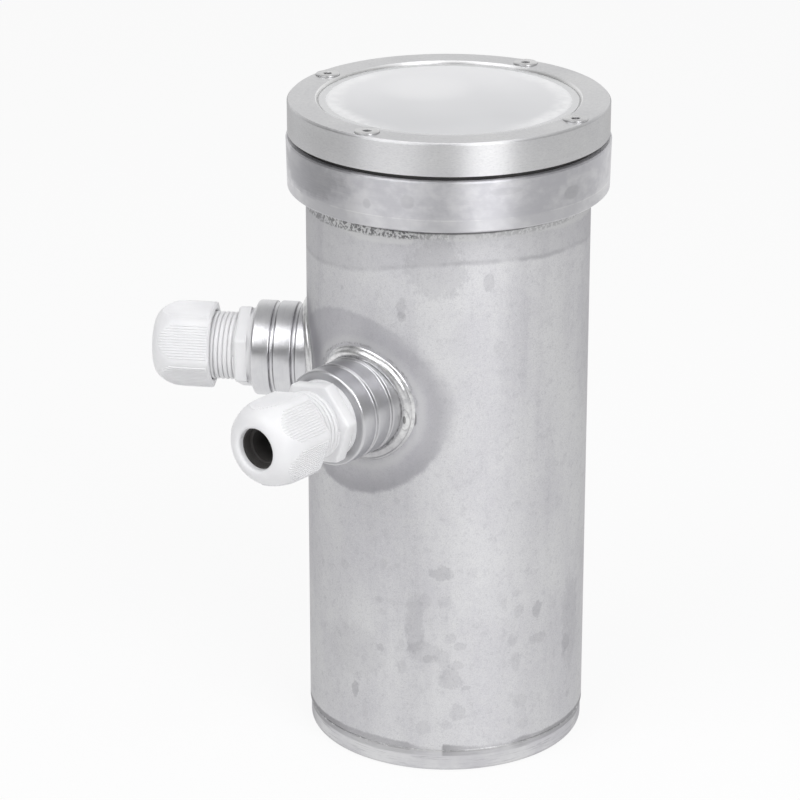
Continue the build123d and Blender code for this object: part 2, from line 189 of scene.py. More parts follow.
def set_stops(ramp, stops):
    """Colour ramp stops as (place, grey or colour)."""
    while len(ramp.elements) > 1:
        ramp.elements.remove(ramp.elements[-1])
    for n, (place, colour) in enumerate(stops):
        element = ramp.elements[0] if n == 0 else ramp.elements.new(place)
        element.position = place
        element.color = colour_of(colour)


def colour_of(value):
    """Four colour channels of a grey or a colour."""
    if isinstance(value, (int, float)):
        return (value, value, value, 1.0)
    return (*value[:3], 1.0)


def split(vector):
    """The three parts of a vector."""
    node = vector.add("SeparateXYZ", sockets={0: vector}).socket.node
    return [Val(vector.tree, socket) for socket in node.outputs]


def oval(x, y, middle, half):
    """How far out a point lies in an oval, squared: 1 on its edge."""
    wide = (x - middle[0]) / half[0]
    tall = (y - middle[1]) / half[1]
    return wide * wide + tall * tall


class Finish:
    """One procedural material: its coordinates in millimetres and its patterns."""

    def __init__(self, name):
        self.material = bpy.data.materials.new(name)
        self.material.use_nodes = True
        self.tree = self.material.node_tree
        self.tree.nodes.clear()
        self.start = Val(self.tree)
        place = self.start.add("TexCoord", out=3)
        self.point = place.add("VectorMath", {"operation": "SCALE"}, {0: place, "Scale": 1 / MM})
        self.x, self.y, self.z = split(self.point)
        self.radius = (self.x * self.x + self.y * self.y).root()

    def join(self, x, y, z):
        return self.start.add("CombineXYZ", sockets={0: x, 1: y, 2: z})

    def mix(self, factor, first, second):
        """Colour mix; either side may be a grey, a colour or a link."""
        sockets = {0: factor}
        for key, value in ((6, first), (7, second)):
            sockets[key] = value if isinstance(value, Val) else colour_of(value)
        return self.start.add("Mix", {"data_type": "RGBA"}, sockets, out=2)

    def facing(self, angle):
        """Millimetres of a point towards a direction round the tube."""
        return self.x * cos(radians(angle)) + self.y * sin(radians(angle))

    def across(self, angle):
        """Millimetres of a point to the right of a direction round the tube, seen from outside."""
        return self.x * -sin(radians(angle)) + self.y * cos(radians(angle))

    def gland_frame(self, side):
        """Millimetres along, across and above a gland axis, and out from it."""
        gland = GLANDS[side]
        along = self.facing(gland["angle"])
        across = self.across(gland["angle"])
        above = self.z - gland["height"]
        return along, across, above, (across * across + above * above).root()

    def level(self, stops):
        """Level round the tube, from (millimetres to the right of the photograph's side, level)."""
        return self.across(CAMERA_SIDE).ramp(stops)

    def edge(self, stops):
        """Height of a line round the tube, from (millimetres to the right, height) stops."""
        low = min(height for _, height in stops)
        span = max(height for _, height in stops) - low
        return self.level([(place, (height - low) / span) for place, height in stops]) * span + low

    def spot(self, angle, height, half_width, half_height, ragged, soft):
        """Soft-edged ragged oval on the tube, at an angle and height."""
        across = self.across(angle) / half_width
        above = (self.z - height) / half_height
        reach = across * across + above * above + ragged
        return reach.rise(1.0 + soft, 1.0 - soft) * self.facing(angle).rise(0.0, 5.0)

    def bump(self, height, distance, strength):
        sockets = {"Height": height, "Distance": distance * MM, "Strength": strength}
        return self.start.add("Bump", sockets=sockets)

    def shader(self, **sockets):
        """Principled shader; socket names take underscores for spaces."""
        named = {key.replace("_", " "): value for key, value in sockets.items()}
        return self.start.add("BsdfPrincipled", sockets=named)

    def output(self, shader):
        end = self.tree.nodes.new("ShaderNodeOutputMaterial")
        self.tree.links.new(shader.socket, end.inputs["Surface"])
        return self.material

    def finish(self, tone, rough, normal, **others):
        """The material, from its colour, roughness and bump."""
        return self.output(self.shader(Base_Color=tone, Roughness=rough, Normal=normal, **others))


# Metals

def bezel_steel():
    """Stainless ring brushed round its axis, with scratches, specks and painted light on its inner edge.
    """
    f = Finish("bezel_brushed_steel")
    lines = f.join(f.x * 0.03, f.y * 0.03, f.z + f.radius)
    fine = lines.noise(5.2, 4.0, 0.7, 1.0)
    broad = lines.noise(0.8, 3.0, 0.6, 2.0)
    cloud = f.point.noise(0.05, 3.0, 0.5, 3.0)
    scratch = f.join(f.x * 0.12, f.y * 0.12, f.radius + f.z).noise(9.0, 2.0, 0.5, 3.5)
    speck = f.join(f.x * 0.6, f.y * 0.6, f.z * 1.5).noise(1.6, 3.0, 0.7, 3.8)
    # Painted light: the inner edge is lightened to stand in for light on its wall
    inner = f.radius.rise(OPENING_R + 0.8, OPENING_R + 0.6)
    tone = f.mix(cloud.rise(0.3, 0.7), (0.67, 0.67, 0.682), (0.74, 0.74, 0.745))
    tone = f.mix(fine.rise(0.35, 0.75) * 0.35, tone, 0.74)
    tone = f.mix(scratch.rise(0.68, 0.78) * 0.30, tone, (0.46, 0.46, 0.48))
    tone = f.mix(speck.rise(0.50, 0.72) * 0.30, tone, 0.88)
    tone = f.mix(speck.rise(0.50, 0.30) * 0.30, tone, (0.50, 0.50, 0.515))
    tone = f.mix(inner * 0.9, tone, 0.96)
    brushed = {
        "Base_Color": tone,
        "Metallic": 1.0,
        "Roughness": 0.35 + broad * 0.10 + fine * 0.10,
        "Normal": f.bump(fine * 0.6 + broad * 0.4, 0.02, 0.35),
        "Anisotropic_Rotation": UPRIGHT,
    }
    side = f.shader(**brushed, Anisotropic=0.90, Specular_Tint=colour_of(0.65))
    top = f.shader(**brushed, Anisotropic=0.35)
    land = f.z.rise(TOP - 0.5, TOP - 0.2)
    return f.output(f.start.add("MixShader", sockets={0: land, 1: side, 2: top}))


# Smudges on the flange: degrees from the photograph's side, drop, half width, half height, strength
FLANGE_SPOTS = [
    (48, 8.0, 3.6, 2.2, 0.36), (-14, 6.5, 2.0, 2.2, 0.24), (-29, 8.5, 1.3, 1.6, 0.26),
    (20, 3.5, 5.0, 1.2, 0.18),
]


def flange_steel():
    """Turned and pickled flange steel: blotchy and smudged, with a ground band at its foot and a painted
    highlight along that band's top.
    """
    f = Finish("flange_turned_steel")
    lines = f.join(f.x * 0.05, f.y * 0.05, f.z + f.radius)
    fine = lines.noise(3.5, 4.0, 0.65, 4.0)
    blot = f.join(f.x, f.y, f.z * 1.4).noise(0.11, 4.0, 0.6, 5.0)
    ragged = f.point.noise(0.22, 3.0, 0.6, 6.0) - 0.5
    ground = f.z.rise(FLANGE_LOW + 4.4, FLANGE_LOW + 3.4)
    # Painted highlight: a bright line along the top of the ground band
    line = f.z.near(FLANGE_LOW + 3.9, 0.30) * blot.rise(0.35, 0.60)
    tone = f.mix(blot.rise(0.38, 0.66), (0.575, 0.572, 0.60), (0.725, 0.722, 0.74))
    tone = f.mix(ground * 0.22, tone, 0.72)
    tone = f.mix(line * 0.6, tone, 0.86)
    frayed = ragged * 2.0 + fine * 0.8 - 0.4
    stain = f.spot(CAMERA_SIDE - 60, FLANGE_TOP - 4.6, 18.5, 6.5, frayed, 0.45)
    tone = f.mix(stain * 0.55, tone, (0.31, 0.31, 0.33))
    for offset, drop, wide, tall, strength in FLANGE_SPOTS:
        smut = f.spot(CAMERA_SIDE + offset, FLANGE_TOP - drop, wide, tall, ragged * 1.6, 0.4)
        tone = f.mix(smut * strength, tone, (0.36, 0.36, 0.38))
    tone = f.mix(fine.rise(0.4, 0.8) * 0.25, tone, 0.70)
    rough = 0.39 + blot * 0.10 + fine * 0.06 - ground * 0.03
    return f.finish(
        tone, rough, f.bump(fine, 0.02, 0.3),
        Metallic=1.0, Anisotropic=0.92, Anisotropic_Rotation=UPRIGHT)


# Marks on the tube: degrees from the photograph's side, height, half width, half height, strength
DROPS = [
    (-18.5, 155.8, 1.5, 3.0, 0.60), (-18.4, 152.9, 1.3, 1.6, 0.70), (16.2, 164.1, 1.6, 2.6, 0.60),
    (20.8, 142.8, 2.0, 2.6, 0.35), (-46.6, 158.4, 0.6, 0.6, 0.60), (-4.5, 168.5, 8.5, 8.5, 0.55),
    (-46.1, 66.1, 1.7, 1.5, 0.35), (-26.4, 70.1, 1.2, 1.8, 0.35), (-2.1, 69.2, 3.6, 2.4, 0.75),
    (-8.4, 59.5, 1.8, 2.2, 0.35), (-0.9, 59.4, 2.1, 1.9, 0.30), (-12.9, 51.5, 2.8, 9.8, 0.60),
    (-9.5, 42.2, 4.5, 3.2, 0.45), (-6.1, 39.5, 2.1, 1.3, 0.50), (1.7, 46.7, 1.8, 1.6, 0.40),
    (5.5, 44.1, 1.8, 1.4, 0.50), (4.4, 37.4, 2.4, 1.4, 0.45), (-0.9, 39.3, 1.8, 2.6, 0.30),
    (1.8, 32.6, 3.3, 3.2, 0.60), (8.5, 29.5, 1.3, 0.7, 0.60), (4.8, 20.9, 2.5, 2.7, 0.55),
    (0.3, 16.7, 1.5, 1.6, 0.35), (-9.4, 15.4, 2.3, 2.2, 0.40), (-40.7, 24.3, 1.3, 2.7, 0.95),
    (-35.4, 18.4, 1.0, 3.2, 0.35), (-27.8, 41.3, 1.1, 1.4, 0.60), (-28.2, 57.8, 1.5, 0.9, 0.35),
    (-23.2, 58.0, 1.4, 0.8, 0.30), (-27.0, 53.6, 1.7, 1.0, 0.30), (-18.4, 44.0, 0.9, 1.3, 0.35),
    (-18.0, 35.7, 1.4, 2.2, 0.35), (24.0, 57.1, 1.0, 2.2, 0.40), (30.9, 53.5, 1.7, 1.8, 0.40),
    (29.5, 59.8, 1.5, 1.2, 0.35), (40.3, 52.6, 1.7, 2.7, 0.80), (27.9, 43.8, 1.6, 1.9, 0.45),
    (40.8, 42.2, 3.6, 1.8, 0.50), (59.3, 35.5, 2.4, 2.9, 0.50), (29.6, 36.1, 1.6, 2.9, 0.40),
    (31.9, 22.1, 2.5, 2.2, 0.30), (33.8, 13.8, 2.2, 1.9, 0.30), (62.0, 16.9, 1.3, 1.3, 0.45),
    (-41.3, 37.8, 10.0, 9.0, 0.28), (62.6, 41.3, 5.0, 15.0, 0.40),
]

# The tables below go by millimetres to the right of the photograph's side.
# How dark the seam above the base is, as painted shade where its groove is open, and the upper edge of
# the smear over it
SEAM_LEVELS = [
    (-45, 0.85), (-36, 0.80), (-31, 0.50), (-21, 0.52), (-12, 0.58), (-9, 0.30), (-4.4, 0.12),
    (-1.3, 0.10), (-0.8, 0.85), (3, 0.62), (8, 0.38), (13, 0.22), (20, 0.24), (24, 0.65),
    (28, 0.45), (33, 0.75), (45, 0.80),
]
SMEAR_EDGE = [
    (-45, 9.4), (-36, 9.9), (-22, 10.3), (-12, 9.9), (-9, 9.0), (-1.3, 8.8), (-0.8, 10.1), (8, 9.2),
    (20, 8.8), (24, 9.6), (30, 9.2), (45, 9.3),
]
# Under the flange: lower edges of the heat tint, the scoured band and the crust
TINT_EDGE = [
    (-45, 163.0), (-40, 163.2), (-32, 164.5), (-22, 166.5), (-11, 169.0), (5, 170.5), (16, 170.3),
    (29, 169.4), (39, 168.9), (45, 167.0),
]
SCOUR_EDGE = [
    (-45, 179.5), (-36, 178.0), (-27, 175.2), (-11, 176.2), (-10, 178.4), (-3, 178.2), (5, 177.6),
    (14, 178.3), (25, 178.0), (40, 176.4), (45, 176.0),
]
CRUST_EDGE = [(-45, 177.4), (-30, 178.4), (-14, 179.0), (0, 179.4), (45, 179.4)]
# How strong the tint's lower line, the crust, the painted shadow under the flange and the bead's pits
# are
TINT_LEVELS = [(-45, 0.5), (-16, 0.7), (2, 0.8), (25, 1.0), (38, 0.7), (45, 0.3)]
CRUST_LEVELS = [
    (-45, 0.45), (-36, 0.7), (-26, 0.9), (-11, 0.9), (-9, 0.5), (-2, 0.3), (6, 0.12), (20, 0.28),
    (36, 0.32), (45, 0.1),
]
GAP_LEVELS = [(-45, 0.3), (-30, 0.6), (0, 0.8), (42, 0.9), (45, 0.5)]
PIT_LEVELS = [(-46, 0.9), (-14, 0.9), (-8, 0.5), (0, 0.3), (20, 0.3), (46, 0.2)]

# Ovals round a gland axis, by middle and half sizes: the heat tint, and a pit in the bead
TINT_OVAL = ((-4.0, -0.3), (32.0, 29.6))
PIT_OVAL = ((16.4, -2.1), (0.5, 1.3))
# Heights between which the painted shadow under the flange darkens, and the smear on the base
GAP_RANGE = (FLANGE_LOW - 2.6, FLANGE_LOW - 1.9)
BASE_SMEAR = (5.3, 5.8)

STAIN_GREY = (0.34, 0.335, 0.36)
SCALE_GREY = (0.20, 0.195, 0.20)
GAP_BLACK = (0.08, 0.08, 0.085)


def flange_tint(f, tone, ragged):
    """Heat tint under the flange, with a darker edge, a scoured band, a crust by the weld and painted
    shadow under the flange.
    """
    above = f.z + ragged * 1.4 - f.edge(TINT_EDGE)
    broken = f.point.noise(0.13, 2.0, 0.5, 18.0).rise(0.38, 0.58) * 0.8 + 0.2
    line = above.near(0.4, 1.3) * broken * f.level(TINT_LEVELS)
    tone = f.mix(above.rise(-0.6, 0.8) * 0.22, tone, (0.44, 0.435, 0.46))
    tone = f.mix(line * 0.40, tone, (0.36, 0.355, 0.38))
    scoured = (f.z + ragged * 1.6 - f.edge(SCOUR_EDGE)).rise(-0.6, 0.8)
    tone = f.mix(scoured * 0.62, tone, 0.78)
    row = f.z + ragged * 1.2 - f.edge(CRUST_EDGE)
    blot = f.join(f.x, f.y, f.z * 0.9).noise(1.25, 3.0, 0.6, 17.0)
    crust = blot.rise(0.46, 0.54) * row.rise(-1.5, -0.6) * f.level(CRUST_LEVELS) * 0.85
    tone = f.mix(crust, tone, (0.11, 0.11, 0.115))
    # Painted shadow: the tube goes nearly black just under the flange's edge
    gap = (f.z + ragged * 0.5).rise(*GAP_RANGE) * f.level(GAP_LEVELS)
    return f.mix(gap, tone, GAP_BLACK)


def socket_tint(f, tone, side, ragged, fray):
    """Darkened oval round a socket: a darker rim, a light band by the bead and a scar in front."""
    along, across, above, out = f.gland_frame(side)
    reach = oval(across, above, *TINT_OVAL) + ragged * 0.15
    here = along.rise(18.0, 24.0)
    faded = across.rise(4.0, 18.0) * above.rise(-18.0, -6.0)
    inside = (reach.rise(1.05, 0.94) * (1 - faded) + reach.rise(1.18, 0.70) * faded) * here
    rim = reach.rise(0.55, 0.90) * inside * (across - above).rise(-30.0, 20.0)
    tone = f.mix(inside * 0.39, tone, (0.42, 0.412, 0.45))
    tone = f.mix(rim * 0.38, tone, STAIN_GREY)
    band = (out + ragged * 2.0).near(SOCKET_R + 5.2, 2.4) * here
    tone = f.mix(band * 0.55, tone, (0.72, 0.72, 0.725))
    crack = (out + ragged * 2.6).near(SOCKET_R + 4.1, 0.5) * here
    crack = crack * fray.rise(0.42, 0.58) * above.rise(-6.0, 12.0)
    tone = f.mix(crack * 0.45, tone, SCALE_GREY)
    if side == "rear":
        return tone
    scar = f.spot(GLANDS[side]["angle"] + 24.6, 120.2, 0.6, 2.3, ragged * 1.2, 0.4)
    return f.mix(scar * 0.7, tone, SCALE_GREY)


def drop_stains(f, ragged, fray):
    """Drop stains as measured on the photograph's side, and scattered ones on the far side."""
    stain = 0.0
    frayed = ragged * 2.8 + fray * 2.4 - 1.2
    for offset, height, wide, tall, strength in DROPS:
        drop = f.spot(CAMERA_SIDE + offset, height, wide, tall, frayed, 0.5)
        stain = (drop * 1.9 - drop * drop * 1.1) * strength + stain
    cell = f.start.add("TexVoronoi", {"feature": "F1"}, {
        "Vector": f.join(f.x, f.y, f.z * 0.65), "Scale": 0.06, "Randomness": 1.0})
    away = f.facing(CAMERA_SIDE).rise(6.0, -4.0)
    return stain + (cell + ragged * 0.10).rise(0.17, 0.11) * away * 0.42


def tube_steel():
    """Matte pickled tube: clouds, faint upright grain, heat tints, painted shadow under the flange, drop
    stains and a smeared foot.
    """
    f = Finish("tube_pickled_steel")
    grain = f.join(f.x, f.y, f.z * 0.05).noise(1.5, 4.0, 0.65, 7.0)
    streak = f.join(f.x, f.y, f.z * 0.08).noise(0.11, 4.0, 0.55, 8.0)
    cloud = f.join(f.x, f.y, f.z * 0.6).noise(0.045, 5.0, 0.6, 9.0)
    mottle = f.point.noise(0.32, 5.0, 0.7, 10.0)
    speck = f.point.noise(1.5, 3.0, 0.6, 11.0)
    fray = f.join(f.x, f.y, f.z * 0.45).noise(1.3, 3.0, 0.6, 11.5)
    fleck = f.point.noise(3.4, 2.0, 0.6, 11.8)
    ragged = f.point.noise(0.32, 3.0, 0.65, 12.0) - 0.5
    tone = f.mix(cloud.rise(0.34, 0.66), (0.695, 0.690, 0.716), (0.792, 0.792, 0.802))
    tone = f.mix(streak.rise(0.52, 0.72) * 0.40, tone, (0.59, 0.585, 0.615))
    tone = f.mix(mottle.rise(0.48, 0.70) * 0.34, tone, 0.76)
    tone = f.mix(mottle.rise(0.48, 0.34) * 0.26, tone, (0.50, 0.495, 0.52))
    tone = f.mix(grain.rise(0.40, 0.75) * 0.22, tone, 0.78)
    tone = f.mix(speck.rise(0.52, 0.72) * 0.26, tone, (0.44, 0.44, 0.46))
    tone = f.mix(speck.rise(0.48, 0.30) * 0.26, tone, 0.82)
    tone = f.mix(fleck.rise(0.50, 0.70) * 0.30, tone, (0.46, 0.455, 0.475))
    tone = f.mix(fleck.rise(0.50, 0.30) * 0.30, tone, 0.90)
    tone = flange_tint(f, tone, ragged)
    for side in GLANDS:
        tone = socket_tint(f, tone, side, ragged, fray)
    stain = drop_stains(f, ragged, fray)
    tone = f.mix(stain * 0.38, tone, STAIN_GREY)
    foot = f.z + ragged * 0.7 + fray * 0.5 - f.edge(SMEAR_EDGE)
    smear = foot.rise(0.45, -0.45) * f.level(SEAM_LEVELS)
    tone = f.mix(smear * 0.75, tone, (0.24, 0.235, 0.25))
    rough = 0.50 + cloud * 0.10 + grain * 0.06 + stain * 0.04
    normal = f.bump(grain * 0.5 + speck * 0.3 + mottle * 0.4, 0.04, 0.3)
    return f.finish(
        tone, rough, normal, Metallic=1.0,
        Anisotropic=0.50, Anisotropic_Rotation=UPRIGHT, Specular_Tint=colour_of(0.58))


def base_steel():
    """Turned base: faint rings on its rim and a smeared seam at its top."""
    f = Finish("base_turned_steel")
    rings = f.join(f.x * 0.04, f.y * 0.04, f.z + f.radius).noise(2.6, 4.0, 0.7, 60.0)
    cloud = f.point.noise(0.08, 4.0, 0.6, 61.0)
    smear = (f.z + (cloud - 0.5) * 1.2).rise(*BASE_SMEAR) * f.level(SEAM_LEVELS)
    tone = f.mix(cloud.rise(0.34, 0.66), (0.61, 0.605, 0.63), (0.73, 0.73, 0.738))
    tone = f.mix(rings.rise(0.52, 0.66) * 0.55, tone, (0.36, 0.355, 0.375))
    tone = f.mix(rings.rise(0.45, 0.25) * 0.30, tone, 0.84)
    tone = f.mix(smear * 0.8, tone, (0.32, 0.315, 0.33))
    return f.finish(
        tone, 0.38 + cloud * 0.12, f.bump(rings, 0.03, 0.3), Metallic=1.0,
        Specular_Tint=colour_of(0.58))


def seam_steel():
    """Weld run in the seam above the base: painted shade where the groove is open, bright where filled.
    """
    f = Finish("seam_weld_steel")
    lump = f.point.noise(0.8, 4.0, 0.6, 62.0)
    # Painted shade where the seam's groove is open
    dark = f.level(SEAM_LEVELS) * lump.rise(0.25, 0.55)
    tone = f.mix(dark, (0.70, 0.70, 0.705), (0.24, 0.24, 0.25))
    return f.finish(tone, 0.36 + lump * 0.15, f.bump(lump, 0.10, 0.5), Metallic=1.0)


# How much darker each socket's tone is made, and how much painted shade its groove corners hold
SOCKET_DULL = {"front": 0.50, "rear": 0.22}
SOCKET_DIRT = {"front": 0.35, "rear": 0.8}


def socket_steel(side):
    """Bright turned socket steel: tool rings round the gland axis, painted shade in the groove corners
    and on the rougher end face.
    """
    f = Finish(side + "_socket_turned_steel")
    along, across, above, out = f.gland_frame(side)
    fine = f.join(along, across * 0.04, above * 0.04).noise(4.0, 4.0, 0.7, 12.0)
    rings = f.join(along, across * 0.05, above * 0.05).noise(1.3, 3.0, 0.65, 12.5)
    blot = f.point.noise(0.20, 3.0, 0.6, 13.0)
    wobble = (f.point.noise(0.6, 2.0, 0.5, 13.5) - 0.5) * 0.35
    tone = f.mix(blot.rise(0.35, 0.7), (0.69, 0.69, 0.71), (0.77, 0.77, 0.78))
    tone = f.mix(fine.rise(0.4, 0.8) * 0.3, tone, 0.84)
    # Each socket's tone is darkened by its own amount
    tone = f.mix(SOCKET_DULL[side], tone, (0.50, 0.50, 0.515))
    tone = f.mix(rings.rise(0.48, 0.68) * 0.20, tone, (0.50, 0.50, 0.515))
    # Painted shade: dark lines at the groove corners, where shade falls, broken up by blots
    dirt = 0.0
    for place in SOCKET_EDGES[1:]:
        dirt = (along + wobble).near(place, 0.34) + dirt
    dirt = dirt * out.rise(SOCKET_R + 0.02, SOCKET_R - 0.25)
    dirt = dirt * blot.rise(0.30, 0.55) * SOCKET_DIRT[side]
    tone = f.mix(dirt, tone, (0.14, 0.135, 0.14))
    # Painted shade: the end face against the gland is darkened, and it is also made rougher
    face = along.rise(SOCKET_EDGES[0] - 0.25, SOCKET_EDGES[0] - 0.05)
    tone = f.mix(face * 0.8, tone, (0.47, 0.47, 0.485))
    rough = 0.19 + blot * 0.05 + rings * 0.12 + fine * 0.06 + face * 0.25
    return f.finish(tone, rough, f.bump(fine * 0.6 + rings * 0.4, 0.15, 0.6), Metallic=1.0)


def flange_weld(f, tone, pit, ragged):
    """Dark pits along the bead under the flange, and painted shadow over it."""
    tone = f.mix(pit.rise(0.44, 0.54) * f.level(PIT_LEVELS), tone, (0.10, 0.10, 0.105))
    # Painted shadow: the top of the bead goes nearly black under the flange
    dark = (f.z + ragged * 0.6).rise(*GAP_RANGE)
    return f.mix(dark * 0.8, tone, GAP_BLACK)


def socket_weld(f, tone, side, lump, pit, ragged):
    """Scale, painted shade on the lower half, a crack by the socket and a ringed pit on a socket's bead.
    """
    _, across, above, out = f.gland_frame(side)
    tone = f.mix(pit.rise(0.60, 0.70) * 0.5, tone, (0.26, 0.255, 0.25))
    # Painted shade: the lower half of the bead is darkened
    tone = f.mix((above + ragged * 6.0).rise(-3.0, -13.0) * 0.62, tone, (0.34, 0.335, 0.35))
    crack = (out + ragged * 1.2).near(SOCKET_R + 0.1, 0.55) * lump.rise(0.42, 0.58)
    tone = f.mix(crack * 0.7, tone, (0.14, 0.14, 0.145))
    reach = oval(across, above, *PIT_OVAL) + ragged * 1.5
    tone = f.mix(reach.rise(1.3, 0.7) * 0.7, tone, 0.10)
    ring = (reach.root() + ragged * 0.4).near(2.6, 0.35)
    return f.mix(ring * 0.35, tone, SCALE_GREY)


def weld_steel(side=None):
    """Weld metal, bright and rippled: of the flange, or of the socket on a side."""
    f = Finish((side or "flange") + "_weld_steel")
    lump = f.point.noise(0.55, 4.0, 0.6, 14.0)
    pit = f.point.noise(1.4, 3.0, 0.65, 15.0)
    ragged = f.point.noise(0.9, 3.0, 0.6, 16.0) - 0.5
    tone = f.mix(lump.rise(0.30, 0.60), (0.58, 0.58, 0.59), 0.80)
    if side is None:
        tone = flange_weld(f, tone, pit, ragged)
    else:
        tone = socket_weld(f, tone, side, lump, pit, ragged)
    rough = 0.25 + lump * 0.12 + pit.rise(0.55, 0.75) * 0.20
    return f.finish(tone, rough, f.bump(lump * 0.75 + pit * 0.25, 0.10, 0.35), Metallic=1.0)


def plain_metal(name, dark, light, rough, seed):
    """Metal of small hidden or turned pieces, with soft clouds and fine grain."""
    f = Finish(name)
    cloud = f.point.noise(0.12, 3.0, 0.55, seed)
    grain = f.point.noise(1.8, 3.0, 0.6, seed + 0.5)
    tone = f.mix(cloud.rise(0.3, 0.7), dark, light)
    return f.finish(tone, rough + grain * 0.12, f.bump(grain, 0.02, 0.3), Metallic=1.0)


# Plastics, rubber and glass

def plain_plastic(name, dark, light, rough, seed):
    """Moulded plastic or rubber with faint clouds and a fine skin."""
    f = Finish(name)
    cloud = f.point.noise(0.10, 3.0, 0.5, seed)
    grain = f.point.noise(2.4, 3.0, 0.6, seed + 0.5)
    tone = f.mix(cloud.rise(0.3, 0.7), dark, light)
    return f.finish(tone, rough + grain * 0.10, f.bump(grain, 0.03, 0.35))


def gland_nylon():
    """Near-white nylon with faint clouds and a fine moulded skin."""
    f = Finish("gland_nylon")
    cloud = f.point.noise(0.09, 3.0, 0.5, 20.0)
    grain = f.point.noise(2.2, 3.0, 0.6, 21.0)
    tone = f.mix(cloud.rise(0.3, 0.7), (0.79, 0.79, 0.80), (0.84, 0.84, 0.845))
    return f.finish(tone, 0.34 + grain * 0.12, f.bump(grain, 0.012, 0.3))


# Radii between which the frosting ends, and its painted sheen rises and falls; a painted glow patch on
# it
FROST_EDGE = (38.6, 36.8)
SMEAR_RISE = (31.0, 36.2)
SMEAR_FALL = (38.5, 37.0)
GLASS_PATCH = ((-7.0, -12.0), (17.0, 17.0))


def frosted_glass():
    """Glass frosted inside a clearer rim, with a painted sheen in whitish smears at the edge of the
    frosting, painted light towards the back and a painted glow patch.
    """
    f = Finish("frosted_glass")
    smear = f.point.noise(0.22, 4.0, 0.65, 22.0)
    grain = f.point.noise(2.8, 2.0, 0.6, 23.0)
    haze = f.point.noise(0.022, 2.0, 0.5, 24.0)
    right = f.across(CAMERA_SIDE)
    front = f.facing(CAMERA_SIDE)
    edge = f.radius + (smear - 0.5) * 1.8
    frosted = edge.rise(*FROST_EDGE)
    tone = f.mix(frosted, (0.55, 0.555, 0.56), (0.585, 0.59, 0.60))
    # Painted light: the frosting is lighter towards the back
    back = front.rise(30.0, -42.0) * 0.8 + haze.rise(0.35, 0.65) * 0.2
    tone = f.mix(back * frosted, tone, (0.80, 0.80, 0.81))
    # Painted glow: a lighter patch on the frosting
    patch = oval(right, front, *GLASS_PATCH).rise(1.0, 0.0)
    tone = f.mix(patch * 0.45, tone, (0.84, 0.84, 0.845))
    sides = right.math("ABSOLUTE").rise(12.0, 30.0)
    # Painted sheen: whitish smears at the edge of the frosting, on the left and right only
    halo = edge.rise(*SMEAR_RISE) * edge.rise(*SMEAR_FALL) * (smear.rise(0.34, 0.62) * 0.6 + 0.4)
    tone = f.mix(halo * sides * 0.62, tone, 0.93)
    rough = 0.14 + frosted * 0.34 + grain * 0.05
    return f.finish(
        tone, rough, f.bump(grain, 0.01, 0.25), Coat_Weight=0.25, Coat_Roughness=0.12)


MATERIALS = {
    "bezel_steel": bezel_steel(),
    "turned_steel": flange_steel(),
    "pickled_steel": tube_steel(),
    "base_steel": base_steel(),
    "seam_steel": seam_steel(),
    "weld_steel": weld_steel(),
    "frosted_glass": frosted_glass(),
    "gland_plastic": gland_nylon(),
}
for side in GLANDS:
    MATERIALS[side + "_socket"] = socket_steel(side)
    MATERIALS[side + "_socket_weld"] = weld_steel(side)

# Key, material name, darker and lighter tone, roughness, seed
PLAIN_METALS = [
    ("screw_steel", "screw_steel", (0.58, 0.58, 0.59), 0.72, 0.28, 30.0),
    ("aluminium", "plain_aluminium", (0.70, 0.71, 0.72), (0.80, 0.80, 0.81), 0.32, 31.0),
    ("zinc_steel", "zinc_sheet", (0.52, 0.54, 0.57), (0.68, 0.69, 0.70), 0.36, 32.0),
    ("brass", "plain_brass", (0.66, 0.50, 0.22), (0.80, 0.64, 0.32), 0.26, 33.0),
]
PLAIN_PLASTICS = [
    ("silicone", "grey_silicone", 0.46, 0.56, 0.5, 40.0),
    ("black_rubber", "black_rubber", (0.022, 0.021, 0.021), (0.038, 0.036, 0.035), 0.48, 41.0),
    ("seal_rubber", "seal_rubber", (0.060, 0.057, 0.055), (0.092, 0.087, 0.084), 0.46, 42.0),
    ("board", "white_board", (0.80, 0.80, 0.78), (0.88, 0.88, 0.86), 0.4, 43.0),
    ("led_phosphor", "yellow_phosphor", (0.86, 0.62, 0.08), (0.93, 0.72, 0.14), 0.35, 44.0),
    ("lens_plastic", "lens_acrylic", (0.70, 0.72, 0.73), (0.78, 0.80, 0.81), 0.15, 45.0),
    ("driver_plastic", "driver_case", (0.10, 0.10, 0.105), (0.15, 0.15, 0.155), 0.45, 46.0),
    ("terminal_plastic", "terminal_nylon", (0.66, 0.64, 0.56), (0.74, 0.72, 0.64), 0.42, 47.0),
    ("earth_wire", "earth_wire", (0.16, 0.34, 0.03), (0.30, 0.46, 0.05), 0.4, 48.0),
    ("mains_wire", "mains_wire", (0.09, 0.04, 0.02), (0.13, 0.06, 0.03), 0.4, 49.0),
    ("led_wire", "lamp_wire", (0.35, 0.02, 0.02), (0.45, 0.03, 0.03), 0.4, 50.0),
]
for key, *look in PLAIN_METALS:
    MATERIALS[key] = plain_metal(*look)
for key, *look in PLAIN_PLASTICS:
    MATERIALS[key] = plain_plastic(*look)

# Every CAD node takes its own finish where it has one, or its slot's
NODE_FINISH = {
    "base_plate": "base_steel", "base_weld": "seam_steel",
    "front_gland_seal": "seal_rubber", "rear_gland_seal": "seal_rubber",
}
for row in frame["record"]["subparts"]:
    name = row["node"]
    key = name if name in MATERIALS else NODE_FINISH.get(name, row["material_slot"])
    nodes[name].data.materials.clear()
    nodes[name].data.materials.append(MATERIALS[key])


# Turned shapes: profiles of (radius, along) in millimetres, revolved about their own axis

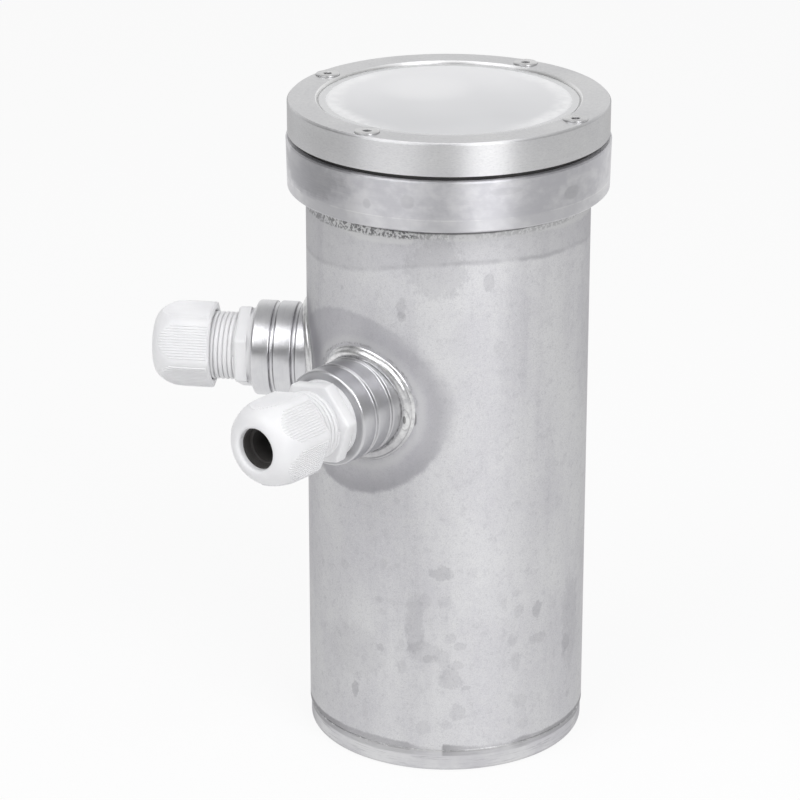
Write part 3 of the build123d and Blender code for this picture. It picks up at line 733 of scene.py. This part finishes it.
def rounded(points, cut):
    """Profile with every corner cut to a small arc."""
    smooth = []
    for n, corner in enumerate(points):
        corner = Vector(corner)
        ends = []
        for other in (points[n - 1], points[(n + 1) % len(points)]):
            run = Vector(other) - corner
            ends.append(corner + run.normalized() * min(cut, run.length * 0.45))
        for t in (0.0, 0.33, 0.67, 1.0):
            smooth.append(ends[0] * (1 - t) ** 2 + corner * 2 * t * (1 - t) + ends[1] * t ** 2)
    return [(p.x, p.y) for p in smooth]


def revolved(profile, shape, steps):
    """Closed mesh in metres from a closed profile; shape moves each point by its angle."""
    tool = bmesh.new()
    rings = []
    for k in range(steps):
        beta = 2 * pi * k / steps
        ring = []
        for n, (r, u) in enumerate(profile):
            r, u = shape(n, r, u, beta)
            ring.append(tool.verts.new((r * cos(beta) * MM, r * sin(beta) * MM, u * MM)))
        rings.append(ring)
    count = len(profile)
    for k in range(steps):
        here = rings[k]
        there = rings[(k + 1) % steps]
        for n in range(count):
            m = (n + 1) % count
            tool.faces.new((here[n], here[m], there[m], there[n]))
    bmesh.ops.recalc_face_normals(tool, faces=tool.faces)
    mesh = bpy.data.meshes.new("turned")
    tool.to_mesh(mesh)
    tool.free()
    return mesh


def soft_min(a, b, blend):
    """The smaller of two sizes, eased over where they meet."""
    near = max(blend - abs(a - b), 0.0) / blend
    return min(a, b) - near * near * blend / 4


def hex_radius(beta, flats, turn):
    """Distance to a hexagon's side, with a flat facing the given angle."""
    off = (beta - radians(turn) + pi / 6) % (pi / 3) - pi / 6
    return flats / 2 / cos(off)


def nut_mesh(side):
    """Hexagonal nut that flows into a dome with a lipped hole."""
    low, high = NUT_RANGE
    start = low + NUT_EASE
    side_rows, dome_rows, lip_rows = 14, 25, 6
    step = (DOME_START - start) / side_rows
    outer = [(NUT_CORNER_R, start + step * n) for n in range(side_rows)]
    for n in range(dome_rows + 1):
        t = radians(90.0 * n / dome_rows)
        r = NOSE_R + (NUT_CORNER_R - NOSE_R) * cos(t)
        outer.append((r, DOME_START + (high - DOME_START) * sin(t)))
    lip = []
    for n in range(1, lip_rows + 1):
        t = radians(90.0 * n / lip_rows)
        lip.append((HOLE_R + LIP_R - LIP_R * sin(t), high - LIP_R + LIP_R * cos(t)))
    cone_start, cone_end = NUT_CONE
    inner = [
        (HOLE_R, cone_end[1]), cone_end, cone_start, (NUT_BORE_R, start), (NUT_BORE_R + 0.4, low),
        (NUT_CORNER_R - NUT_EASE, low),
    ]
    profile = outer + lip + inner
    turn = GLANDS[side]["nut"]

    def shape(n, r, u, beta):
        flat = hex_radius(beta, NUT_FLATS, turn)
        if n < len(outer):
            side_r = soft_min(flat, NUT_CORNER_R + 0.1, 0.4)
            r = min(soft_min(side_r, r + 0.1, NUT_BLEND), r)
        elif n == len(profile) - 1:
            r = min(flat, NUT_CORNER_R) - NUT_EASE
        return r, u

    return revolved(profile, shape, steps=240)


def body_mesh(side):
    """Gland body: bevelled hexagon, thread core and stepped bore."""
    low, high = HEX_RANGE
    # How far in from the hexagon, and where along
    crown = [
        (0.22, low), (0.06, low + 0.06), (0.0, low + 0.22), (0.0, high - 0.75), (0.08, high - 0.52),
        (0.50, high - 0.09), (0.72, high),
    ]
    profile = [
        (SHANK_R, SHANK_END), (SHANK_R, low), *crown, (CLAMP_CORE_R, high), (CLAMP_CORE_R, CLAMP_END),
        (CLAMP_BORE_R, CLAMP_END), (CLAMP_BORE_R, CLAMP_FLOOR), (CABLE_BORE_R, CLAMP_FLOOR),
        (CABLE_BORE_R, SHANK_END),
    ]
    turn = GLANDS[side]["hex"]

    def shape(n, r, u, beta):
        if 2 <= n < 2 + len(crown):
            edge = hex_radius(beta, HEX_FLATS - 2 * r, turn)
            r = soft_min(edge, HEX_CORNER_R - r, 0.25)
        return r, u

    return revolved(profile, shape, steps=240)


def socket_mesh():
    """Turned socket with eased edges and two grooves, its foot cut to sit on the tube."""
    face, first, second, third, fourth = SOCKET_EDGES
    floor = SOCKET_R - GROOVE_DEPTH
    foot = 45.0
    corners = [(SOCKET_R, foot)]
    for low, high in ((fourth, third), (second, first)):
        corners += [
            (SOCKET_R, low), (floor, low + GROOVE_SLOPE), (floor, high - GROOVE_SLOPE), (SOCKET_R, high)]
    corners += [
        (SOCKET_R, face - SOCKET_CHAMFER), (SOCKET_R - SOCKET_CHAMFER, face), (SOCKET_BORE_R, face),
        (SOCKET_BORE_R, foot),
    ]
    eased = rounded(corners, SOCKET_EASE)[4:-4]
    profile = [(SOCKET_R, 0.0), *eased, (SOCKET_BORE_R, 0.0)]

    def shape(n, r, u, beta):
        if n in (0, len(profile) - 1):
            u = sqrt((TUBE_R + 0.05) ** 2 - (r * cos(beta)) ** 2)
        return r, u

    return revolved(profile, shape, steps=180)


def screw_mesh():
    """Countersunk screw with an eased head edge and a hex socket."""
    head = TOP + SCREW_RISE
    end = head - SCREW_LENGTH
    neck = TOP - (HEAD_R - SHAFT_R)
    outside = [
        (AXIS_HOLE_R, end), (SHAFT_R, end), (SHAFT_R, neck), (HEAD_R, TOP), (HEAD_R, head - 0.25),
        (HEAD_R - 0.07, head - 0.08), (HEAD_R - 0.25, head),
    ]
    floor = head - KEY_DEPTH
    key = [(KEY_R + 0.2, head), (KEY_R, head - 0.2), (KEY_R, floor), (AXIS_HOLE_R, floor)]
    profile = outside + key

    def shape(n, r, u, beta):
        if len(outside) <= n < len(profile) - 1:
            r = hex_radius(beta, 2 * r, 0.0)
        return r, u

    return revolved(profile, shape, steps=48)


# Shapes that repeat or follow a path

class Growth:
    """One Geometry Nodes tree with named inputs, in millimetres."""

    def __init__(self, name, inputs):
        self.tree = bpy.data.node_groups.new(name, "GeometryNodeTree")
        face = self.tree.interface
        self.keys = {}
        for key, value in inputs.items():
            kind = "NodeSocketInt" if isinstance(value, int) else "NodeSocketFloat"
            socket = face.new_socket(key, in_out="INPUT", socket_type=kind)
            socket.default_value = value
            self.keys[key] = socket.identifier
        socket = face.new_socket("Material", in_out="INPUT", socket_type="NodeSocketMaterial")
        self.keys["Material"] = socket.identifier
        face.new_socket("Geometry", in_out="OUTPUT", socket_type="NodeSocketGeometry")
        entry = self.tree.nodes.new("NodeGroupInput")
        self.start = Val(self.tree)
        self.given = {key: Val(self.tree, entry.outputs[key]) for key in self.keys}

    def join(self, x, y, z):
        return self.start.add("CombineXYZ", sockets={0: x, 1: y, 2: z})

    def moved(self, geometry, **sockets):
        return self.start.add("GeometryNodeSetPosition", sockets={"Geometry": geometry, **sockets})

    def swept(self, path, size, sides):
        """Round bar along a path, scaled by the path's own radius."""
        outline = self.start.add(
            "GeometryNodeCurvePrimitiveCircle", sockets={"Resolution": sides, "Radius": size})
        return self.start.add(
            "GeometryNodeCurveToMesh",
            sockets={"Curve": path, "Profile Curve": outline, "Fill Caps": True})

    def finish(self, geometry):
        """Ends the tree in one plain mesh with its material."""
        whole = self.start.add("GeometryNodeRealizeInstances", sockets={0: geometry})
        painted = self.start.add(
            "GeometryNodeSetMaterial", sockets={"Geometry": whole, "Material": self.given["Material"]})
        end = self.tree.nodes.new("NodeGroupOutput")
        self.tree.links.new(painted.socket, end.inputs[0])

    def grow(self, material, **values):
        """Plain mesh of the tree's result, in metres."""
        host = bpy.data.objects.new("host", bpy.data.meshes.new("host"))
        bpy.context.scene.collection.objects.link(host)
        modifier = host.modifiers.new("growth", "NODES")
        modifier.node_group = self.tree
        modifier[self.keys["Material"]] = material
        for key, value in values.items():
            modifier[self.keys[key.replace("_", " ")]] = value
        made = host.evaluated_get(bpy.context.evaluated_depsgraph_get())
        mesh = bpy.data.meshes.new_from_object(made)
        host.modifiers.remove(modifier)
        bpy.data.objects.remove(host)
        mesh.transform(Matrix.Scale(MM, 4))
        return mesh


def rib_growth():
    """Fine ribs along the flats of a dome nut, following its side and dome."""
    g = Growth("nut_ribs", {
        "Flats": 6, "Ribs": 13, "Pitch": 0.87, "Thickness": 0.26, "Start": 75.5, "End": 91.2,
        "Shrink": 0.0085, "Half flats": NUT_FLATS / 2, "Sink": 0.04, "Blend": NUT_BLEND, "Turn": 0.0,
    })
    v = g.given
    line = g.start.add("GeometryNodeCurvePrimitiveLine", sockets={"End": (0, 0, 1)})
    line = g.start.add("GeometryNodeResampleCurve", sockets={"Curve": line, "Count": 18})
    copies = g.start.add(
        "GeometryNodeDuplicateElements", {"domain": "SPLINE"},
        {"Geometry": line, "Amount": v["Flats"] * v["Ribs"]}).socket.node
    number = Val(g.tree, copies.outputs["Duplicate Index"])
    flat = (number / v["Ribs"]).math("FLOOR")
    aside = (number - flat * v["Ribs"] - (v["Ribs"] - 1) / 2) * v["Pitch"]
    reach = (v["End"] - v["Start"]) * (1 - aside * aside * v["Shrink"])
    share = g.start.add("GeometryNodeSplineParameter")
    along = v["Start"] + share * reach
    climb = ((along - DOME_START) / (NUT_RANGE[1] - DOME_START)).math("MAXIMUM", 0.0)
    dome = NOSE_R + (NUT_CORNER_R - NOSE_R) * (1 - climb * climb).root()
    side = (dome * dome - aside * aside).root()
    height = v["Half flats"].math("SMOOTH_MIN", side, v["Blend"]) - v["Sink"]
    turn = (flat * 60.0 + v["Turn"]) * (pi / 180)
    c = turn.math("COSINE")
    s = turn.math("SINE")
    ribs = g.moved(
        Val(g.tree, copies.outputs["Geometry"]),
        Position=g.join(height * c - aside * s, height * s + aside * c, along))
    g.finish(g.swept(ribs, v["Thickness"], 6))
    return g


def thread_growth():
    """Round-crested screw thread wound along a gland body."""
    g = Growth("gland_thread", {
        "Core": 10.2, "Crest": 0.68, "Pitch": THREAD_PITCH, "Start": 67.0, "Turns": 8.4,
    })
    v = g.given
    spiral = g.start.add("GeometryNodeCurveSpiral", sockets={
        "Resolution": 72, "Rotations": v["Turns"], "Start Radius": v["Core"],
        "End Radius": v["Core"], "Height": v["Turns"] * v["Pitch"]})
    spiral = g.moved(spiral, Offset=g.join(0.0, 0.0, v["Start"]))
    g.finish(g.swept(spiral, v["Crest"], 8))
    return g


def bead_growth():
    """Weld bead round a ring or a saddle on the tube, with ripples and lumps."""
    g = Growth("weld_bead", {
        "Path radius": 16.1, "Saddle radius": 0.0, "Lift": 0.0, "Bead": 1.9, "Ripple pitch": 1.7,
        "Ripple": 0.06, "Drift": 9.0, "Lump": 0.5, "Lump scale": 0.25, "Rough": 0.35,
        "Rough scale": 0.9, "Seed": 1.0,
    })
    v = g.given
    ring = g.start.add(
        "GeometryNodeCurvePrimitiveCircle", sockets={"Resolution": 480, "Radius": v["Path radius"]})
    place = g.start.add("GeometryNodeInputPosition")
    x, y, _ = split(place)
    square = v["Saddle radius"] * v["Saddle radius"] - x * x
    height = v["Lift"] + square.math("MAXIMUM", 0.0).root()
    path = g.moved(ring, Position=g.join(x, y, height))
    run = g.start.add("GeometryNodeSplineParameter", out=1)
    slow = place.noise(v["Lump scale"], 2.0, 0.5, v["Seed"]) - 0.5
    phase = run * (2 * pi) / v["Ripple pitch"] + slow * v["Drift"]
    size = 1 + phase.math("SINE") * v["Ripple"] + slow * v["Lump"]
    path = g.start.add("GeometryNodeSetCurveRadius", sockets={"Curve": path, "Radius": size})
    bead = g.swept(path, v["Bead"], 16)
    normal = g.start.add("GeometryNodeInputNormal")
    grit = (place.noise(v["Rough scale"], 3.0, 0.5, v["Seed"] + 5.0) - 0.5) * v["Rough"]
    push = normal.add("VectorMath", {"operation": "SCALE"}, {0: normal, "Scale": grit})
    g.finish(g.moved(bead, Offset=push))
    return g


RIBS = rib_growth()
THREAD = thread_growth()
BEAD = bead_growth()


# Pieces, with the angles from which an edge counts as a crease
CREASE = 38.0
SCREW_CREASE = 30.0
NO_CREASE = 180.0


def piece(name, meshes, key, body, node, matrix=Matrix(), sharp=CREASE):
    """One visual piece from meshes in their own frame; it stands for a CAD node."""
    tool = bmesh.new()
    for mesh in meshes:
        tool.from_mesh(mesh)
    bmesh.ops.transform(tool, matrix=matrix, verts=tool.verts)
    bmesh.ops.recalc_face_normals(tool, faces=tool.faces)
    joined = bpy.data.meshes.new(name)
    tool.to_mesh(joined)
    tool.free()
    joined.materials.append(MATERIALS[key])
    for face in joined.polygons:
        face.material_index = 0
        face.use_smooth = True
    joined.set_sharp_from_angle(angle=radians(sharp))
    obj = bpy.data.objects.new(name, joined)
    bpy.context.scene.collection.objects.link(obj)
    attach(obj, body)
    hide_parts(node)


def gland_matrix(gland):
    """From a gland's own frame (across, up, out) to the light's frame."""
    a = radians(gland["angle"])
    turn = Matrix(((-sin(a), 0, cos(a)), (cos(a), 0, sin(a)), (0, 1, 0)))
    return Matrix.Translation((0, 0, gland["height"] * MM)) @ turn.to_4x4()


for side, gland in GLANDS.items():
    place = gland_matrix(gland)
    nylon = MATERIALS["gland_plastic"]
    ribs = RIBS.grow(nylon, Turn=gland["nut"])
    piece(side + "_dome_nut", [nut_mesh(side), ribs], "gland_plastic",
          side + "_nut", side + "_gland_nut", place)
    thread = THREAD.grow(nylon)
    piece(side + "_gland", [body_mesh(side), thread], "gland_plastic",
          "housing", side + "_gland_body", place)
    piece(side + "_entry_socket", [socket_mesh()], side + "_socket",
          "housing", side + "_socket", place)
    metal = MATERIALS[side + "_socket_weld"]
    seed = 2.0 + gland["nut"]
    rope = BEAD.grow(
        metal, Path_radius=16.0, Saddle_radius=TUBE_R - 0.5, Bead=2.05, Lump=0.35, Lump_scale=0.18,
        Ripple=0.025, Rough=0.12, Rough_scale=0.4, Seed=seed)
    toe = BEAD.grow(
        metal, Path_radius=17.4, Saddle_radius=TUBE_R - 0.9, Bead=1.35, Lump=0.7, Ripple=0.03,
        Rough=0.3, Rough_scale=0.35, Seed=seed + 3.0)
    piece(side + "_socket_bead", [rope, toe], side + "_socket_weld",
          "housing", side + "_socket_weld", place, NO_CREASE)

bead = BEAD.grow(
    MATERIALS["weld_steel"], Path_radius=TUBE_R + 0.15, Lift=FLANGE_LOW - 0.55, Bead=1.25, Lump=0.45,
    Lump_scale=0.35, Rough=0.5, Rough_scale=0.8, Seed=4.0)
piece("flange_bead", [bead], "weld_steel", "housing", "flange_weld", sharp=NO_CREASE)

seam = BEAD.grow(
    MATERIALS["seam_steel"], Path_radius=TUBE_R - 0.50, Lift=SEAM, Bead=0.50, Lump=0.30,
    Lump_scale=0.3, Ripple=0.05, Ripple_pitch=1.2, Rough=0.08, Rough_scale=1.2, Seed=6.0)
piece("base_bead", [seam], "seam_steel", "housing", "base_weld", sharp=NO_CREASE)

for n, angle in enumerate(SCREW_ANGLES, start=1):
    a = radians(angle)
    place = Matrix.Translation((SCREW_CIRCLE * cos(a) * MM, SCREW_CIRCLE * sin(a) * MM, 0))
    place = place @ Matrix.Rotation(a, 4, "Z")
    piece("bezel_bolt_%d" % n, [screw_mesh()], "screw_steel",
          "screw_%d" % n, "bezel_screw_%d" % n, place, SCREW_CREASE)


# Camera at the photograph's angle, a distance in metres from a point on the tube's axis at a
# height in millimetres, which falls on AXIS_PIXEL
CAMERA_AZIMUTH = 7.5
CAMERA_ELEVATION = 20.75
CAMERA_DISTANCE = 1.1
CAMERA_HEIGHT = 117.5
PIXELS_PER_MM = 3.1467
FOCAL_PIXELS = PIXELS_PER_MM * CAMERA_DISTANCE / MM
AXIS_PIXEL = (447.3, 377.0)
IMAGE = 800
SENSOR = 36.0


def direction(azimuth, elevation):
    """Unit vector from the light towards a place round it."""
    a = radians(azimuth)
    e = radians(elevation)
    return Vector((sin(a) * cos(e), -cos(a) * cos(e), sin(e)))


def aim(obj, location, target):
    """Puts a camera or lamp at a place, pointing at a target."""
    obj.location = location
    obj.rotation_euler = (target - location).to_track_quat("-Z", "Y").to_euler()
    bpy.context.scene.collection.objects.link(obj)


def place_camera():
    """Plain camera with no shift."""
    a = radians(CAMERA_AZIMUTH)
    back = direction(CAMERA_AZIMUTH, CAMERA_ELEVATION)
    right = Vector((cos(a), sin(a), 0))
    up = back.cross(right)
    middle = Vector((0, 0, CAMERA_HEIGHT * MM))
    per_pixel = CAMERA_DISTANCE / FOCAL_PIXELS
    target = middle - right * (AXIS_PIXEL[0] - IMAGE / 2) * per_pixel
    target = target + up * (AXIS_PIXEL[1] - IMAGE / 2) * per_pixel
    data = bpy.data.cameras.new("camera")
    data.sensor_width = SENSOR
    data.lens = SENSOR * FOCAL_PIXELS / IMAGE
    data.clip_end = 50.0
    camera = bpy.data.objects.new("camera", data)
    aim(camera, middle + back * CAMERA_DISTANCE, target)
    bpy.context.scene.camera = camera


# Studio: white floor and backdrop, a dim room behind the camera and soft lamps
FLOOR_HALF = 12.0
FLOOR_GREY = 0.86
FLOOR_SHARE = 0.88
ROOM_GLOW = {"all": 0.20, "right": 0.20, "above": 0.32}
BACKDROP_GLOW = {"all": 0.75, "seen": 0.20}
LAMP_COLOUR = (0.985, 0.985, 1.0)
LAMP_AIM = 110.0
# Name, degrees to the right of the camera, elevation, distance, size in metres, watts
LAMPS = [
    ("key_box", 29.0, 40.0, 1.3, (0.62, 1.1), 7.9),
    ("fill_box", -46.0, 44.0, 1.6, (1.15, 1.2), 10.2),
]


def soft_lamp(name, turn, elevation, distance, size, watts):
    """Soft box that points at the middle of the light."""
    data = bpy.data.lights.new(name, "AREA")
    data.shape = "RECTANGLE"
    data.size, data.size_y = size
    data.energy = watts
    data.color = LAMP_COLOUR
    middle = Vector((0, 0, LAMP_AIM * MM))
    location = middle + distance * direction(CAMERA_AZIMUTH + turn, elevation)
    aim(bpy.data.objects.new(name, data), location, middle)


def background_rays(start):
    """1 for the rays that show the background: to the camera, off metal and through glass."""
    path = start.add("LightPath").socket.node
    kinds = ("Is Camera Ray", "Is Glossy Ray", "Is Transmission Ray")
    return sum(Val(start.tree, path.outputs[kind]) for kind in kinds).math("MINIMUM", 1.0)


def white_floor():
    """Floor that shows nearly white and keeps a little of the light's shadow."""
    mesh = bpy.data.meshes.new("floor")
    signs = ((-1, -1), (1, -1), (1, 1), (-1, 1))
    mesh.from_pydata([(x * FLOOR_HALF, y * FLOOR_HALF, 0) for x, y in signs], [], [(0, 1, 2, 3)])
    floor = bpy.data.objects.new("floor", mesh)
    bpy.context.scene.collection.objects.link(floor)
    f = Finish("floor_white")
    share = background_rays(f.start) * FLOOR_SHARE
    matte = f.start.add("BsdfDiffuse", sockets={"Color": colour_of(FLOOR_GREY)})
    glow = f.start.add("Emission", sockets={"Color": colour_of(1.0), "Strength": 1.0})
    mesh.materials.append(f.output(f.start.add("MixShader", sockets={0: share, 1: matte, 2: glow})))


def room():
    """World: white to the camera, a pale backdrop beyond the light and a dim room around it."""
    world = bpy.data.worlds.new("studio")
    world.use_nodes = True
    tree = world.node_tree
    tree.nodes.clear()
    start = Val(tree)
    x, y, z = split(start.add("TexCoord", out=0))
    a = radians(CAMERA_AZIMUTH)
    away = y * cos(a) - x * sin(a)
    right = x * cos(a) + y * sin(a)
    dim = right.rise(-0.3, 0.8) * ROOM_GLOW["right"] + z.rise(0.3, 0.95) * ROOM_GLOW["above"]
    dim = dim + ROOM_GLOW["all"]
    pale = background_rays(start) * BACKDROP_GLOW["seen"] + BACKDROP_GLOW["all"]
    backdrop = away.rise(0.25, 0.80) * z.rise(1.0, 0.30)
    strength = dim * (1 - backdrop) + pale * backdrop
    direct = start.add("LightPath")
    strength = strength * (1 - direct) + direct
    glow = start.add("Background", sockets={"Strength": strength, "Color": colour_of(1.0)})
    end = tree.nodes.new("ShaderNodeOutputWorld")
    tree.links.new(glow.socket, end.inputs["Surface"])
    bpy.context.scene.world = world


bpy.context.scene.view_settings.view_transform = "Standard"
place_camera()
white_floor()
room()
for lamp in LAMPS:
    soft_lamp(*lamp)
